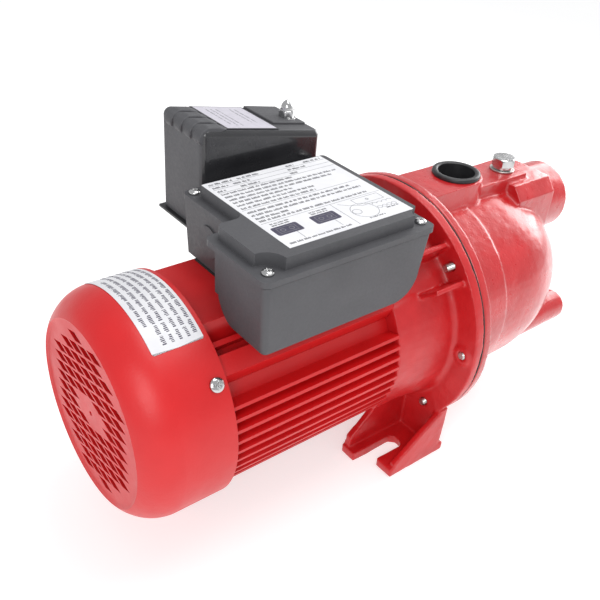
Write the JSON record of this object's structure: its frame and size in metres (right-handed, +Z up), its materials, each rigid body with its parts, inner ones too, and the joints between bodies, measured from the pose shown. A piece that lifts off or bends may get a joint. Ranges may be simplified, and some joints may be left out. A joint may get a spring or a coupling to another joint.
{
  "type": "shallow well jet pump",
  "caption": "Horizontal close-coupled shallow well jet pump with finned motor, terminal box and pressure switch; top discharge and end suction ports.",
  "frame": {"origin": "centre of the bounding box at the underside of the feet, directly below the shaft", "axes": "+X along the shaft towards the suction port, +Z up; y = 0 passes through the shaft"},
  "size_m": [0.4156, 0.19, 0.2434],
  "materials": {
    "red_casting": "gloss paint over a rough casting",
    "red_coat": "semi-gloss powder coat",
    "dark_gasket": "matte",
    "black_plastic": "smooth",
    "grey_plastic": "fine grained",
    "black_cover": "glossy near face",
    "beige_plastic": "smooth",
    "brown_board": "smooth",
    "white_label": "printed film",
    "steel": "machined",
    "bright_steel": "polished",
    "lamination": "dark",
    "copper": "enamelled wire",
    "cast_alloy": "cast",
    "brass": "machined",
    "noryl": "glass filled",
    "carbon": "lapped",
    "capacitor_case": "smooth",
    "rubber": "matte"
  },
  "bodies": {
    "pump": {"pump_casing": "red_casting", "casing_bolts": "steel", "casing_gasket": "dark_gasket", "gauge_port_plug": "steel", "motor_bracket": "red_coat", "motor_frame": "red_coat", "rear_end_bell": "cast_alloy", "tie_rods": "steel", "fan_cover": "red_coat", "cover_screws": "steel", "bearing_outer_rings": "bright_steel", "stator_core": "lamination", "stator_windings": "copper", "start_switch_plate": "brown_board", "seal_seat": "carbon", "diffuser": "noryl", "diffuser_o_ring": "rubber", "venturi_tube": "noryl", "ejector_body": "noryl", "ejector_nozzle": "brass", "terminal_box": "grey_plastic", "terminal_box_lid": "grey_plastic", "lid_gasket": "rubber", "lid_screws": "steel", "box_gasket": "rubber", "rating_label": "white_label", "cover_label": "white_label", "start_capacitor": "capacitor_case", "terminal_board": "brown_board", "voltage_selector_body": "black_plastic", "switch_cover": "black_cover", "switch_base_plate": "lamination", "diaphragm_housing": "steel", "cover_stud": "steel", "acorn_nut": "bright_steel", "lever_pin": "steel", "lever_posts": "steel", "contact_block": "black_plastic", "range_spring_stud": "steel", "range_spring": "bright_steel", "sensing_tube": "black_plastic", "conduit_nipple": "steel"},
    "rotor": {"motor_shaft": "steel", "water_slinger": "rubber", "bearing_inner_rings": "bright_steel", "bearing_balls": "bright_steel", "rotor_core": "lamination", "rotor_end_rings": "cast_alloy", "cooling_fan": "beige_plastic", "seal_head": "steel", "seal_bellows": "bright_steel", "impeller": "noryl", "impeller_nut": "brass"},
    "governor": {"governor_spool": "beige_plastic"},
    "washer": {"prime_plug_washer": "steel"},
    "plug": {"prime_plug": "bright_steel"},
    "shipping_plug": {"discharge_shipping_plug": "black_plastic"},
    "selector": {"voltage_selector_slide": "beige_plastic"},
    "plunger": {"switch_plunger": "brass"},
    "lever": {"contact_lever": "steel"}
  },
  "joints": [
    {"name": "shaft_spin", "type": "hinge", "parent": "pump", "child": "rotor", "pos_m": [0, 0, 0.1], "axis": [1, 0, 0], "continuous": true},
    {"name": "governor_travel", "type": "slide", "parent": "rotor", "child": "governor", "axis": [-1, 0, 0], "range_m": [0, 0.003], "stiffness_N_per_m": 400},
    {"name": "washer_lift", "type": "slide", "parent": "pump", "child": "washer", "axis": [0, 0, 1], "range_m": [0, 0.012]},
    {"name": "prime_plug_unscrew", "type": "slide", "parent": "washer", "child": "plug", "axis": [0, 0, 1], "range_m": [0, 0.012]},
    {"name": "shipping_plug_pull", "type": "slide", "parent": "pump", "child": "shipping_plug", "axis": [0, 0, 1], "range_m": [0, 0.03]},
    {"name": "voltage_select", "type": "slide", "parent": "pump", "child": "selector", "axis": [1, 0, 0], "range_m": [0, 0.008]},
    {"name": "plunger_lift", "type": "slide", "parent": "pump", "child": "plunger", "axis": [0, 0, 1], "range_m": [0, 0.001]},
    {"name": "lever_tilt", "type": "hinge", "parent": "pump", "child": "lever", "pos_m": [-0.0729, 0.07, 0.1872], "axis": [0, -1, 0], "range_deg": [0, 3.1]}
  ],
  "couplings": [
    {"joint": "plunger_lift", "follows": "lever_tilt", "m_per_rad": 0.0184}
  ]
}
